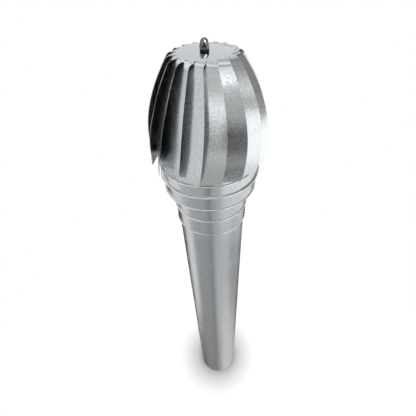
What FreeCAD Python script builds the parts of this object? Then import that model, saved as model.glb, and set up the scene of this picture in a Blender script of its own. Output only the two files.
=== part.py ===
"""Roof turbine ventilator on a one metre flue pipe, as an assembly of separate sheet-metal pieces.

The origin is the centre of the pipe's lower end and +Z points up. A vane is drawn with its face
towards -Y and turned about Z to its place in the ring.
"""
import FreeCAD, Part
import math
import os
import re
import Sketcher

doc = FreeCAD.newDocument("RoofTurbineVentilator")
Vector = FreeCAD.Vector

# Driving dimensions, in millimetres and degrees
SIZES = {
    # sheet thicknesses and gaps
    "sheet_gauge": 0.6,
    "vane_gauge": 0.6,
    "cap_gauge": 0.8,
    "seat_gap": 0.3,
    "fit_gap": 0.02,
    "hole_gap": 0.1,
    "running_gap": 0.3,
    # flue pipe with its lock seam
    "pipe_diameter": 150.0,
    "pipe_visible": 1000.0,
    "pipe_insert": 45.0,
    "seam_width": 8.0,
    "seam_proud": 1.2,
    # neck collar between the pipe and the cup
    "neck_step": 3.5,
    "neck_height": 90.0,
    "neck_bead_rise": 45.0,
    "neck_top_bead_drop": 6.0,
    "neck_flange_width": 10.5,
    "bead_half_width": 2.4,
    "bead_proud": 2.0,
    # static cup that the rotor's skirt turns around
    "cup_step": 15.5,
    "cup_height": 58.0,
    "cup_corner": 2.0,
    "cup_bead_rise": 4.8,
    "cup_hem_fold": 5.0,
    # rotor skirt ring
    "skirt_step": 2.7,
    "skirt_lap": 20.5,
    "skirt_roll": 5.0,
    "skirt_roll_gap": 1.2,
    "skirt_bead_drop": 9.5,
    "skirt_height": 52.0,
    # vanes
    "vane_count": 18,
    "vane_azimuth": 2.0,
    "vane_lap": 14.0,
    "vane_height": 180.5,
    "vane_belly_radius": 356.0,
    "vane_shoulder_radius": 12.0,
    "vane_inner_foot": -8.0,
    "vane_inner_edge": 8.0,
    "lug_height": 15.0,
    "lug_slope": 20.0,
    "vane_edge_reach": 56.8,
    "vane_edge_rise": 68.5,
    "vane_edge_radius": 271.0,
    "vane_foot_corner": 4.0,
    "relief_drop": 6.0,
    "tab_depth": 12.0,
    "tab_outer_gap": 0.5,
    "tab_inner_gap": 2.0,
    "blank_margin": 3.0,
    "vane_rivet_offset": -3.5,
    "vane_rivet_diameter": 3.2,
    # rivet heads, as shares of the rivet's diameter
    "rivet_head_reach": 0.9,
    "rivet_head_rise": 0.4,
    "rivet_tail_reach": 0.8,
    "rivet_tail_rise": 0.3,
    # cap fasteners
    "stud_diameter": 8.0,
    "stud_end_drop": 4.5,
    "seal_diameter": 15.0,
    "seal_height": 3.5,
    "nut_flats": 13.0,
    "nut_height": 6.5,
    "dome_diameter": 12.5,
    "dome_nut_height": 15.0,
    "penny_diameter": 24.0,
    "penny_height": 1.5,
    # spider bracket
    "spider_gauge": 2.5,
    "spider_arms": 3,
    "spider_arm_width": 22.0,
    "spider_end_gap": 4.0,
    "spider_hub_rim": 7.0,
    "spider_lip": 8.0,
    "spider_lip_gap": 3.0,
    "foot_rivet_half_pitch": 6.0,
    "foot_rivet_diameter": 4.0,
    # bearing tube and its screws
    "tube_wall": 3.0,
    "tube_length": 160.0,
    "tube_drop": 19.0,
    "tube_shoulder": 1.75,
    "tube_flange_height": 3.0,
    "screw_circle_gap": 6.0,
    "screw_diameter": 4.0,
    "screw_head_diameter": 7.0,
    "screw_head_height": 2.6,
    "screw_length": 10.0,
    "small_nut_flats": 7.0,
    "small_nut_height": 3.2,
    # ball bearings
    "outer_ring_wall": 1.8,
    "bearing_width": 7.0,
    "bearing_pitch": 15.0,
    "ball_diameter": 3.969,
    "ball_count": 7,
    "ball_gap": 0.12,
    "inner_shoulder": 1.45,
    "outer_shoulder": 1.7,
    "cage_wall": 1.5,
    "cage_gap": 0.35,
    "cage_above": 0.9,
    "shield_gauge": 0.4,
    "shield_inset": 0.15,
    # retaining rings, shaft and collar
    "clip_gauge": 1.0,
    "clip_bite": 0.6,
    "clip_width": 1.8,
    "clip_edge": 1.6,
    "shaft_clip_gauge": 0.8,
    "shaft_clip_bite": 0.3,
    "shaft_clip_width": 2.0,
    "shaft_end_drop": 4.0,
    "collar_diameter": 16.0,
    "collar_height": 8.0,
    "grub_diameter": 4.0,
    "grub_inset": 0.38,
}

# Levels and radii that follow from the driving dimensions
DERIVED = {
    "pipe_radius": "pipe_diameter / 2",
    "pipe_inside": "pipe_radius - sheet_gauge",
    "pipe_top": "pipe_visible + pipe_insert",
    "neck_radius": "pipe_radius + neck_step",
    "neck_inside": "neck_radius - sheet_gauge",
    "neck_flange_radius": "neck_radius + neck_flange_width",
    "neck_roll": "(neck_step + bead_proud / 2 - seat_gap) / 2",
    "neck_roll_centre": "pipe_radius + seat_gap + neck_roll",
    "neck_bottom": "pipe_visible",
    "neck_top": "neck_bottom + neck_height",
    "neck_bead": "neck_bottom + neck_bead_rise",
    "neck_top_bead": "neck_top - neck_top_bead_drop",
    "bead_radius": "(bead_half_width ^ 2 + bead_proud ^ 2) / (2 * bead_proud)",
    "bead_inside": "bead_radius - sheet_gauge",
    "bead_inside_half": "sqrt(bead_proud * (2 * bead_inside - bead_proud))",
    "cup_radius": "neck_radius + cup_step",
    "cup_floor": "neck_top + sheet_gauge",
    "cup_top": "neck_top + cup_height",
    "cup_bead": "neck_top + cup_bead_rise",
    "skirt_radius": "cup_radius + skirt_step",
    "skirt_inside": "skirt_radius - sheet_gauge",
    "skirt_bottom": "cup_top - skirt_lap",
    "skirt_top": "skirt_bottom + skirt_height",
    "skirt_roll_centre": "cup_radius + skirt_roll_gap + skirt_roll / 2",
    "vane_reach": "skirt_radius + seat_gap + vane_gauge / 2",
    "vane_foot": "skirt_top - vane_lap",
    "skirt_bead": "vane_foot - skirt_bead_drop",
    "vane_top": "vane_foot + vane_height",
    "vane_step": "360 / vane_count",
    "belly_centre": "vane_reach - vane_belly_radius",
    "shoulder_level": "vane_top - vane_gauge / 2 - vane_shoulder_radius",
    "shoulder_sine": "(shoulder_level - vane_foot) / (vane_belly_radius - vane_shoulder_radius)",
    "shoulder_cosine": "sqrt(1 - shoulder_sine ^ 2)",
    "bend_line": "belly_centre + (vane_belly_radius - vane_shoulder_radius) * shoulder_cosine",
    "edge_level": "vane_foot + vane_edge_rise",
    "edge_centre": "vane_edge_reach - vane_edge_radius",
    "edge_top": "edge_centre + sqrt(vane_edge_radius ^ 2 - (vane_top - edge_level) ^ 2)",
    "edge_low": "edge_centre + sqrt(vane_edge_radius ^ 2 - (vane_foot + vane_foot_corner - edge_level) ^ 2)",
    "tooth_start": "bend_line * tan((atan(edge_top / bend_line) / 1deg - vane_step) * 1deg)",
    "rivet_level": "vane_foot + vane_lap / 2",
    "cap_top": "vane_top + cap_gauge",
    "seal_top": "cap_top + seal_height",
    "dome_top": "seal_top + dome_nut_height",
    "stud_end": "dome_top - stud_end_drop",
    "penny_bottom": "vane_top - penny_height",
    "stud_radius": "stud_diameter / 2",
    "spider_top": "cup_floor + spider_gauge",
    "spider_reach": "cup_radius - spider_end_gap",
    "foot_rivet_circle": "neck_radius + neck_flange_radius",
    "tube_bottom": "spider_top - tube_drop",
    "tube_top": "tube_bottom + tube_length",
    "inner_land": "bearing_pitch / 2 - inner_shoulder",
    "outer_land": "bearing_pitch / 2 + outer_shoulder",
    "bearing_outer": "2 * (outer_land + outer_ring_wall)",
    "tube_diameter": "bearing_outer + 2 * tube_wall",
    "tube_bore": "bearing_outer - 2 * tube_shoulder",
    "screw_circle": "tube_diameter + 2 * screw_circle_gap",
    "spider_hub_diameter": "screw_circle + 2 * spider_hub_rim",
    "tube_seat": "bearing_outer / 2 + fit_gap",
    "clip_groove": "bearing_outer / 2 + clip_bite",
    "clip_slot": "clip_gauge + 2 * hole_gap",
    "lower_bearing": "tube_bottom + clip_edge + clip_slot + bearing_width / 2",
    "upper_bearing": "tube_top - clip_edge - clip_slot - bearing_width / 2",
    "race_radius": "ball_diameter / 2 + ball_gap",
    "cage_below": "bearing_width / 2 - shield_inset - shield_gauge - cage_gap",
    "shaft_bottom": "lower_bearing - bearing_width / 2 - shaft_end_drop",
    "collar_bottom": "upper_bearing + bearing_width / 2",
    "grub_length": "collar_diameter / 2 - stud_radius - fit_gap - grub_inset",
}

sheet = doc.addObject("Spreadsheet::Sheet", "Size")
for row, (alias, amount) in enumerate(SIZES.items(), 1):
    sheet.set("A%d" % row, alias)
    sheet.set("B%d" % row, str(amount))
    sheet.setAlias("B%d" % row, alias)
for row, (alias, formula) in enumerate(DERIVED.items(), 1):
    sheet.set("D%d" % row, alias)
    sheet.set("E%d" % row, "=" + formula)
    sheet.setAlias("E%d" % row, alias)
doc.recompute()

names = set(SIZES) | set(DERIVED)
probe = doc.addObject("App::VarSet", "Probe")
probe.addProperty("App::PropertyFloat", "Amount")


def bound(formula):
    """The formula with the sheet's name before each size."""
    return re.sub(r"[a-z_]+", lambda word: "Size." + word[0] if word[0] in names else word[0], formula)


def number(formula):
    """What a formula comes to now."""
    probe.setExpression("Amount", bound(formula))
    probe.recompute()
    return probe.Amount


def body_for(name):
    """An empty body under its own label."""
    body = doc.addObject("PartDesign::Body", name)
    body.Label = name
    return body


def datum(body, role):
    """One of the body's own origin planes or axes."""
    return next(item for item in body.Origin.OriginFeatures if item.Role == role)


def sketch_on(body, name, plane, across="0", up="0", out="0"):
    """A sketch on an origin plane, its own origin moved along the plane and off it."""
    sketch = body.newObject("Sketcher::SketchObject", name)
    sketch.AttachmentSupport = (datum(body, plane), [""])
    sketch.MapMode = "FlatFace"
    for axis, formula in zip("xyz", (across, up, out)):
        sketch.setExpression("AttachmentOffset.Base." + axis, bound(formula))
    return sketch


def pin_down(sketch, kind, formula, *where):
    """One dimension of a sketch, bound to the sheet."""
    index = sketch.addConstraint(Sketcher.Constraint(kind, *where, number(formula)))
    sketch.setExpression("Constraints[%d]" % index, bound(formula))


def loop(sketch, corners):
    """A closed outline. A corner with a radius is reached by an arc: left turning, or right if negative."""
    points = [Vector(number(corner[0]), number(corner[1])) for corner in corners]
    first = sketch.GeometryCount
    ends = []
    for index, corner in enumerate(corners):
        start, end = points[index - 1], points[index]
        if len(corner) == 2:
            sketch.addGeometry(Part.LineSegment(start, end))
            ends.append((1, 2))
            continue
        turns_right = corner[2].startswith("-")
        radius = number(corner[2].lstrip("-"))
        chord = end - start
        half = chord.Length / 2
        left = Vector(-chord.y, chord.x) / chord.Length
        if turns_right:
            left = -left
        centre = (start + end) / 2 + left * max(radius ** 2 - half ** 2, 0) ** 0.5
        arc_from, arc_to = (end, start) if turns_right else (start, end)
        angles = [math.atan2(point.y - centre.y, point.x - centre.x) for point in (arc_from, arc_to)]
        circle = Part.Circle(centre, Vector(0, 0, 1), radius)
        sketch.addGeometry(Part.ArcOfCircle(circle, angles[0], angles[1]))
        ends.append((2, 1) if turns_right else (1, 2))
    for index, corner in enumerate(corners):
        following = (index + 1) % len(corners)
        sketch.addConstraint(Sketcher.Constraint(
            "Coincident", first + index, ends[index][1], first + following, ends[following][0]))
        pin_down(sketch, "DistanceX", corner[0], -1, 1, first + index, ends[index][1])
        pin_down(sketch, "DistanceY", corner[1], -1, 1, first + index, ends[index][1])
        if len(corner) == 3:
            pin_down(sketch, "Radius", corner[2].lstrip("-"), first + index)


def ring(sketch, radius, across="0", up="0"):
    """A full circle."""
    centre = Vector(number(across), number(up))
    index = sketch.addGeometry(Part.Circle(centre, Vector(0, 0, 1), number(radius)))
    pin_down(sketch, "DistanceX", across, -1, 1, index, 3)
    pin_down(sketch, "DistanceY", up, -1, 1, index, 3)
    pin_down(sketch, "Radius", radius, index)


def rectangle(sketch, left, right, low, high):
    """An upright rectangle."""
    loop(sketch, [(left, low), (right, low), (right, high), (left, high)])


def hexagon(sketch, flats):
    """A hexagon about the sketch's origin, with two of its corners on the X axis."""
    spots = [(2, 0), (1, 1), (-1, 1), (-2, 0), (-1, -1), (1, -1)]
    loop(sketch, [("%d * %s / (2 * sqrt(3))" % (x, flats), "%d * %s / 2" % (y, flats)) for x, y in spots])


def revolve(body, sketch, name, angle="360"):
    """The sketch turned about its own vertical axis."""
    turned = body.newObject("PartDesign::Revolution", name)
    turned.Profile = sketch
    turned.ReferenceAxis = (sketch, ["V_Axis"])
    turned.setExpression("Angle", angle)
    return turned


def pad(body, sketch, name, length, backwards=False):
    """The sketch thickened to a solid."""
    block = body.newObject("PartDesign::Pad", name)
    block.Profile = sketch
    block.setExpression("Length", bound(length))
    block.Reversed = backwards
    return block


def pocket(body, sketch, name, depth=None, backwards=False):
    """The sketch cut out of the body, right through it when no depth is given."""
    doc.recompute()
    before = body.Shape.Volume
    hollow = body.newObject("PartDesign::Pocket", name)
    hollow.Profile = sketch
    hollow.Reversed = backwards
    if depth is None:
        hollow.Type = "ThroughAll"
    else:
        hollow.setExpression("Length", bound(depth))
    doc.recompute()
    if body.Shape.Volume > before - 1e-3:
        raise RuntimeError("%s cuts nothing from %s" % (name, body.Label))
    return hollow


def around(body, feature, name, count):
    """The feature repeated at even steps about Z."""
    pattern = body.newObject("PartDesign::PolarPattern", name)
    pattern.Originals = [feature]
    pattern.Axis = (datum(body, "Z_Axis"), [""])
    pattern.Angle = 360
    pattern.setExpression("Occurrences", bound(count))
    body.Tip = pattern
    return pattern


def copy_of(source, name, turn="0", level="0"):
    """Another piece of the same shape, turned about Z and lifted."""
    piece = doc.addObject("Part::Compound", name)
    piece.Label = name
    piece.Links = [source]
    place(piece, turn, level)
    return piece


def place(piece, turn, level="0"):
    """Turn the piece about Z and set its level."""
    piece.setExpression("Placement.Rotation.Angle", bound(turn))
    piece.setExpression("Placement.Base.z", bound(level))
    piece.Placement = FreeCAD.Placement(Vector(0, 0, number(level)), Vector(0, 0, 1), number(turn))


def crown(reach, rise):
    """The radius of a shallow dome from its half width and its height."""
    return "(((%s) ^ 2 + (%s) ^ 2) / (2 * (%s)))" % (reach, rise, rise)


def bead_up(wall, level):
    """A swaged bead met on the way up the outside of a wall."""
    return [(wall, level + " - bead_half_width"), (wall, level + " + bead_half_width", "bead_radius")]


def bead_down(wall, level):
    """The inside of the same bead, met on the way down."""
    return [(wall, level + " + bead_inside_half"), (wall, level + " - bead_inside_half", "-bead_inside")]


def rolled_edge(outside, inside, centre, roll, level):
    """A wired edge rolled round under a wall, from the wall's inside down and up to its outside."""
    def meets(wall):
        return "%s + sqrt(%s ^ 2 - (%s - %s) ^ 2)" % (level, roll, wall, centre)
    return [
        (inside, meets(inside)),
        ("%s - %s" % (centre, roll), level, roll),
        (centre, "%s - %s" % (level, roll), roll),
        ("%s + %s" % (centre, roll), level, roll),
        (outside, meets(outside), roll),
    ]


# Flue pipe: one rolled sheet, closed by a flat lock seam down the back
flue_pipe = body_for("flue_pipe")
sketch = sketch_on(flue_pipe, "pipe_section", "XY_Plane")
ring(sketch, "pipe_radius")
ring(sketch, "pipe_inside")
pad(flue_pipe, sketch, "pipe_wall", "pipe_top")
sketch = sketch_on(flue_pipe, "seam_section", "XY_Plane")
loop(sketch, [
    ("-seam_width / 2", "pipe_radius - sheet_gauge"),
    ("seam_width / 2", "pipe_radius - sheet_gauge"),
    ("seam_width / 2 - sheet_gauge", "pipe_radius + seam_proud"),
    ("-seam_width / 2 + sheet_gauge", "pipe_radius + seam_proud"),
])
pad(flue_pipe, sketch, "lock_seam", "pipe_visible - seat_gap")

# Neck collar: a beaded sleeve over the pipe, rolled in at its foot and flanged out at its top
neck_collar = body_for("neck_collar")
sketch = sketch_on(neck_collar, "neck_section", "XZ_Plane")
loop(
    sketch,
    rolled_edge("neck_radius", "neck_inside", "neck_roll_centre", "neck_roll", "(neck_bottom + neck_roll)")
    + bead_up("neck_radius", "neck_bead")
    + bead_up("neck_radius", "neck_top_bead")
    + [
        ("neck_radius", "neck_top - sheet_gauge"),
        ("neck_flange_radius", "neck_top - sheet_gauge"),
        ("neck_flange_radius", "neck_top"),
        ("neck_inside", "neck_top"),
    ]
    + bead_down("neck_inside", "neck_top_bead")
    + bead_down("neck_inside", "neck_bead"))
revolve(neck_collar, sketch, "neck_wall")

# Base cup: a spun cup on the neck's flange, with a bead at its foot and its rim hemmed inwards
base_cup = body_for("base_cup")
sketch = sketch_on(base_cup, "cup_section", "XZ_Plane")
loop(
    sketch,
    [
        ("neck_inside", "cup_floor"),
        ("neck_inside", "neck_top"),
        ("cup_radius - cup_corner", "neck_top"),
        ("cup_radius", "neck_top + cup_corner", "cup_corner"),
    ]
    + bead_up("cup_radius", "cup_bead")
    + [
        ("cup_radius", "cup_top"),
        ("cup_radius - 2 * sheet_gauge", "cup_top"),
        ("cup_radius - 2 * sheet_gauge", "cup_top - cup_hem_fold"),
        ("cup_radius - sheet_gauge", "cup_top - cup_hem_fold"),
    ]
    + bead_down("(cup_radius - sheet_gauge)", "cup_bead")
    + [
        ("cup_radius - sheet_gauge", "neck_top + cup_corner"),
        ("cup_radius - cup_corner", "cup_floor", "-(cup_corner - sheet_gauge)"),
    ])
revolve(base_cup, sketch, "cup_wall")

# Spider: three flat arms with turned-down lips, carrying the bearing tube in the middle of the duct
bearing_spider = body_for("bearing_spider")
sketch = sketch_on(bearing_spider, "hub_outline", "XY_Plane", out="cup_floor")
ring(sketch, "spider_hub_diameter / 2")
pad(bearing_spider, sketch, "hub_plate", "spider_gauge")
sketch = sketch_on(bearing_spider, "arm_outline", "XY_Plane", out="cup_floor")
rectangle(sketch, "-spider_arm_width / 2", "spider_arm_width / 2", "-spider_reach", "0")
arm = pad(bearing_spider, sketch, "arm_plate", "spider_gauge")
around(bearing_spider, arm, "arms", "spider_arms")
sketch = sketch_on(bearing_spider, "lip_outline", "XY_Plane", out="cup_floor")
for near, far in (("spider_arm_width / 2 - spider_gauge", "spider_arm_width / 2"),
                  ("-spider_arm_width / 2", "spider_gauge - spider_arm_width / 2")):
    rectangle(sketch, near, far, "spider_lip_gap - neck_inside", "-spider_hub_diameter / 2")
lip = pad(bearing_spider, sketch, "arm_lips", "spider_lip", backwards=True)
around(bearing_spider, lip, "lips", "spider_arms")
sketch = sketch_on(bearing_spider, "tube_hole_outline", "XY_Plane", out="spider_top")
ring(sketch, "tube_diameter / 2 + hole_gap")
pocket(bearing_spider, sketch, "tube_hole")


def hole_ring(body, name, level, circle, diameter, count, across="0"):
    """Holes through the sheet below a level, spaced evenly about the axis."""
    spot = sketch_on(body, name + "_outline", "XY_Plane", out=level)
    ring(spot, "%s / 2 + hole_gap" % diameter, across=across, up="-%s / 2" % circle)
    hole = pocket(body, spot, name)
    return around(body, hole, name + "s", count)


FOOT_SIDES = {"left": "-foot_rivet_half_pitch", "right": "foot_rivet_half_pitch"}
hole_ring(bearing_spider, "screw_hole", "spider_top", "-screw_circle", "screw_diameter", "spider_arms")
for side, across in FOOT_SIDES.items():
    for body, level in ((bearing_spider, "spider_top"), (base_cup, "cup_floor"), (neck_collar, "neck_top")):
        hole_ring(body, side + "_foot_hole", level, "foot_rivet_circle", "foot_rivet_diameter",
                  "spider_arms", across)
for body, level in ((base_cup, "cup_floor"), (neck_collar, "neck_top")):
    hole_ring(body, "cup_rivet_hole", level, "-foot_rivet_circle", "foot_rivet_diameter", "spider_arms")


def rivets(name, circle, across, low, high, diameter, count):
    """Rivets standing along Z between two levels, with a domed head above and a flat one below."""
    body = body_for(name)
    for step, offset in enumerate(across):
        spot = sketch_on(body, "rivet_section_%d" % step, "XZ_Plane", across=offset, out=circle + " / 2")
        head, dome = diameter + " * rivet_head_reach", diameter + " * rivet_head_rise"
        tail, foot = diameter + " * rivet_tail_reach", low + " - %s * rivet_tail_rise" % diameter
        loop(spot, [
            ("0", foot),
            (tail, foot),
            (tail, low),
            (diameter + " / 2", low),
            (diameter + " / 2", high),
            (head, high),
            ("0", high + " + " + dome, crown(head, dome)),
        ])
        rivet = revolve(body, spot, "rivet_%d" % step)
        around(body, rivet, "rivets_%d" % step, count)
    return body


rivets("spider_rivets", "foot_rivet_circle", list(FOOT_SIDES.values()), "(neck_top - sheet_gauge)",
       "spider_top", "foot_rivet_diameter", "spider_arms")
rivets("cup_rivets", "-foot_rivet_circle", ["0"], "(neck_top - sheet_gauge)", "cup_floor",
       "foot_rivet_diameter", "spider_arms")

# Bearing tube: a turned tube with a seat and a clip groove at each end, and a flange on the spider's hub
bearing_tube = body_for("bearing_tube")
sketch = sketch_on(bearing_tube, "tube_section", "XZ_Plane")
loop(sketch, [
    ("tube_seat", "tube_bottom"),
    ("tube_diameter / 2", "tube_bottom"),
    ("tube_diameter / 2", "spider_top"),
    ("spider_hub_diameter / 2", "spider_top"),
    ("spider_hub_diameter / 2", "spider_top + tube_flange_height"),
    ("tube_diameter / 2", "spider_top + tube_flange_height"),
    ("tube_diameter / 2", "tube_top"),
    ("tube_seat", "tube_top"),
    ("tube_seat", "tube_top - clip_edge"),
    ("clip_groove", "tube_top - clip_edge"),
    ("clip_groove", "tube_top - clip_edge - clip_slot"),
    ("tube_seat", "tube_top - clip_edge - clip_slot"),
    ("tube_seat", "upper_bearing - bearing_width / 2"),
    ("tube_bore / 2", "upper_bearing - bearing_width / 2"),
    ("tube_bore / 2", "lower_bearing + bearing_width / 2"),
    ("tube_seat", "lower_bearing + bearing_width / 2"),
    ("tube_seat", "tube_bottom + clip_edge + clip_slot"),
    ("clip_groove", "tube_bottom + clip_edge + clip_slot"),
    ("clip_groove", "tube_bottom + clip_edge"),
    ("tube_seat", "tube_bottom + clip_edge"),
])
revolve(bearing_tube, sketch, "tube_wall")
hole_ring(bearing_tube, "screw_hole", "spider_top + tube_flange_height", "-screw_circle", "screw_diameter",
          "spider_arms")

# Pan-head screws down through the flange and the hub, with a nut under each
tube_screws = body_for("tube_screws")
sketch = sketch_on(tube_screws, "screw_section", "XZ_Plane", out="-screw_circle / 2")
seat = "(spider_top + tube_flange_height)"
loop(sketch, [
    ("0", seat + " - screw_length"),
    ("screw_diameter / 2", seat + " - screw_length"),
    ("screw_diameter / 2", seat),
    ("screw_head_diameter / 2", seat),
    ("screw_head_diameter / 2", seat + " + screw_head_height / 2"),
    ("0", seat + " + screw_head_height", crown("screw_head_diameter / 2", "screw_head_height / 2")),
])
screw = revolve(tube_screws, sketch, "screw")
around(tube_screws, screw, "screws", "spider_arms")
tube_nuts = body_for("tube_nuts")
sketch = sketch_on(tube_nuts, "nut_outline", "XY_Plane", up="screw_circle / 2", out="cup_floor")
hexagon(sketch, "small_nut_flats")
ring(sketch, "screw_diameter / 2 + fit_gap")
nut = pad(tube_nuts, sketch, "nut", "small_nut_height", backwards=True)
around(tube_nuts, nut, "nuts", "spider_arms")

# Ball bearing parts, drawn once about the origin and set into both ends of the tube
HALF = "bearing_width / 2"


def race(name, bore, land, groove):
    """A bearing ring: a plain band with a ball groove in the side that faces the balls."""
    body = body_for(name)
    spot = sketch_on(body, name + "_section", "XZ_Plane")
    flank = "sqrt(race_radius ^ 2 - (%s - bearing_pitch / 2) ^ 2)" % land
    loop(spot, [(bore, "-" + HALF), (land, "-" + HALF), (land, "-" + flank), (land, flank, groove),
                (land, HALF), (bore, HALF)])
    revolve(body, spot, name + "_band")
    return body


outer_race = race("outer_race", "bearing_outer / 2", "outer_land", "race_radius")
inner_race = race("inner_race", "stud_radius + fit_gap", "inner_land", "-race_radius")

shields = body_for("shields")
for step, side in enumerate(("-", "")):
    sketch = sketch_on(shields, "shield_outline_%d" % step, "XY_Plane",
                       out=side + "(" + HALF + " - shield_inset)")
    ring(sketch, "outer_land - fit_gap")
    ring(sketch, "inner_land + running_gap")
    pad(shields, sketch, "shield_%d" % step, "shield_gauge", backwards=side == "")

balls = body_for("balls")
ball = balls.newObject("PartDesign::AdditiveSphere", "ball")
ball.AttachmentSupport = (datum(balls, "XY_Plane"), [""])
ball.MapMode = "FlatFace"
ball.setExpression("AttachmentOffset.Base.x", bound("bearing_pitch / 2"))
ball.setExpression("Radius", bound("ball_diameter / 2"))
around(balls, ball, "ball_set", "ball_count")

ball_cage = body_for("ball_cage")
sketch = sketch_on(ball_cage, "cage_outline", "XY_Plane", out="-cage_below")
ring(sketch, "(bearing_pitch + cage_wall) / 2")
ring(sketch, "(bearing_pitch - cage_wall) / 2")
pad(ball_cage, sketch, "cage_band", "cage_below + cage_above")
doc.recompute()
cup_cut = ball_cage.newObject("PartDesign::SubtractiveSphere", "ball_pocket")
cup_cut.AttachmentSupport = (datum(ball_cage, "XY_Plane"), [""])
cup_cut.MapMode = "FlatFace"
cup_cut.setExpression("AttachmentOffset.Base.x", bound("bearing_pitch / 2"))
cup_cut.setExpression("Radius", bound("race_radius"))
around(ball_cage, cup_cut, "ball_pockets", "ball_count")

bearing_parts = []
for end in ("lower", "upper"):
    for source, label in ((outer_race, "outer_ring"), (inner_race, "inner_ring"), (shields, "shields"),
                          (balls, "balls"), (ball_cage, "ball_cage")):
        bearing_parts.append(copy_of(source, "%s_bearing_%s" % (end, label), level=end + "_bearing"))

# Retaining rings: a spread one in each tube groove and a closing one on the foot of the shaft
for end, floor in (("lower", "tube_bottom + clip_edge + hole_gap"),
                   ("upper", "tube_top - clip_edge - hole_gap - clip_gauge")):
    clip = body_for(end + "_bearing_clip")
    sketch = sketch_on(clip, "clip_section", "XZ_Plane")
    rectangle(sketch, "clip_groove - hole_gap - clip_width", "clip_groove - hole_gap", floor,
              floor + " + clip_gauge")
    revolve(clip, sketch, "clip_band", "320")
shaft_clip = body_for("shaft_clip")
sketch = sketch_on(shaft_clip, "clip_section", "XZ_Plane")
CLIP_TOP = "(lower_bearing - bearing_width / 2 - hole_gap)"
rectangle(sketch, "stud_radius - shaft_clip_bite + hole_gap",
          "stud_radius - shaft_clip_bite + hole_gap + shaft_clip_width",
          CLIP_TOP + " - shaft_clip_gauge", CLIP_TOP)
revolve(shaft_clip, sketch, "clip_band", "300")

# Rotor shaft: a plain rod with a clip groove at its foot, chamfered ends and a threaded top
rotor_shaft = body_for("rotor_shaft")
sketch = sketch_on(rotor_shaft, "shaft_section", "XZ_Plane")
loop(sketch, [
    ("0", "shaft_bottom"),
    ("stud_radius - shaft_clip_bite", "shaft_bottom"),
    ("stud_radius", "shaft_bottom + shaft_clip_bite"),
    ("stud_radius", CLIP_TOP + " - shaft_clip_gauge - hole_gap"),
    ("stud_radius - shaft_clip_bite", CLIP_TOP + " - shaft_clip_gauge - hole_gap"),
    ("stud_radius - shaft_clip_bite", CLIP_TOP + " + hole_gap"),
    ("stud_radius", CLIP_TOP + " + hole_gap"),
    ("stud_radius", "stud_end - shaft_clip_bite"),
    ("stud_radius - shaft_clip_bite", "stud_end"),
    ("0", "stud_end"),
])
revolve(rotor_shaft, sketch, "shaft_rod")

# Shaft collar on the upper bearing, locked by a grub screw, so the bearing carries the rotor
shaft_collar = body_for("shaft_collar")
sketch = sketch_on(shaft_collar, "collar_section", "XZ_Plane")
loop(sketch, [
    ("stud_radius + fit_gap", "collar_bottom"),
    ("inner_land", "collar_bottom"),
    ("inner_land", "collar_bottom + running_gap"),
    ("collar_diameter / 2", "collar_bottom + running_gap"),
    ("collar_diameter / 2", "collar_bottom + collar_height - running_gap"),
    ("collar_diameter / 2 - running_gap", "collar_bottom + collar_height"),
    ("stud_radius + fit_gap", "collar_bottom + collar_height"),
])
revolve(shaft_collar, sketch, "collar_band")
GRUB_LEVEL = "collar_bottom + collar_height / 2"
sketch = sketch_on(shaft_collar, "grub_hole_outline", "XZ_Plane", up=GRUB_LEVEL)
ring(sketch, "grub_diameter / 2 + fit_gap")
pocket(shaft_collar, sketch, "grub_hole", backwards=True)
grub_screw = body_for("grub_screw")
sketch = sketch_on(grub_screw, "grub_outline", "XZ_Plane", up=GRUB_LEVEL, out="stud_radius + fit_gap")
ring(sketch, "grub_diameter / 2")
pad(grub_screw, sketch, "grub_body", "grub_length")

# Clamp under the cap: a plain nut and a penny washer on the threaded end
penny_washer = body_for("penny_washer")
sketch = sketch_on(penny_washer, "washer_outline", "XY_Plane", out="penny_bottom")
ring(sketch, "penny_diameter / 2")
ring(sketch, "stud_radius + hole_gap")
pad(penny_washer, sketch, "washer_disc", "penny_height")
lock_nut = body_for("lock_nut")
sketch = sketch_on(lock_nut, "nut_outline", "XY_Plane", out="penny_bottom")
hexagon(sketch, "nut_flats")
ring(sketch, "stud_radius + fit_gap")
pad(lock_nut, sketch, "nut_block", "nut_height", backwards=True)

# Rubber sealing washer and domed nut on top of the cap
seal_washer = body_for("seal_washer")
sketch = sketch_on(seal_washer, "seal_section", "XZ_Plane")
SEAL_ROUND = "seal_height / 4"
loop(sketch, [
    ("stud_radius + fit_gap", "cap_top"),
    ("seal_diameter / 2 - %s" % SEAL_ROUND, "cap_top"),
    ("seal_diameter / 2", "cap_top + %s" % SEAL_ROUND, SEAL_ROUND),
    ("seal_diameter / 2", "seal_top - %s" % SEAL_ROUND),
    ("seal_diameter / 2 - %s" % SEAL_ROUND, "seal_top", SEAL_ROUND),
    ("stud_radius + fit_gap", "seal_top"),
])
revolve(seal_washer, sketch, "seal_band")
domed_nut = body_for("domed_nut")
sketch = sketch_on(domed_nut, "nut_outline", "XY_Plane", out="seal_top")
hexagon(sketch, "nut_flats")
pad(domed_nut, sketch, "nut_block", "nut_height")
sketch = sketch_on(domed_nut, "dome_section", "XZ_Plane")
loop(sketch, [
    ("0", "seal_top + nut_height / 2"),
    ("dome_diameter / 2", "seal_top + nut_height / 2"),
    ("dome_diameter / 2", "dome_top - dome_diameter / 2"),
    ("0", "dome_top", "dome_diameter / 2"),
])
revolve(domed_nut, sketch, "dome")
sketch = sketch_on(domed_nut, "thread_outline", "XY_Plane", out="seal_top")
ring(sketch, "stud_radius + fit_gap")
pocket(domed_nut, sketch, "thread_hole", "stud_end - seal_top + running_gap", backwards=True)

# Cap plate: a disc whose rim is a tooth for each vane, straight along the bend and stepped between
cap_plate = body_for("cap_plate")
sketch = sketch_on(cap_plate, "cap_outline", "XY_Plane", out="vane_top")


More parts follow.
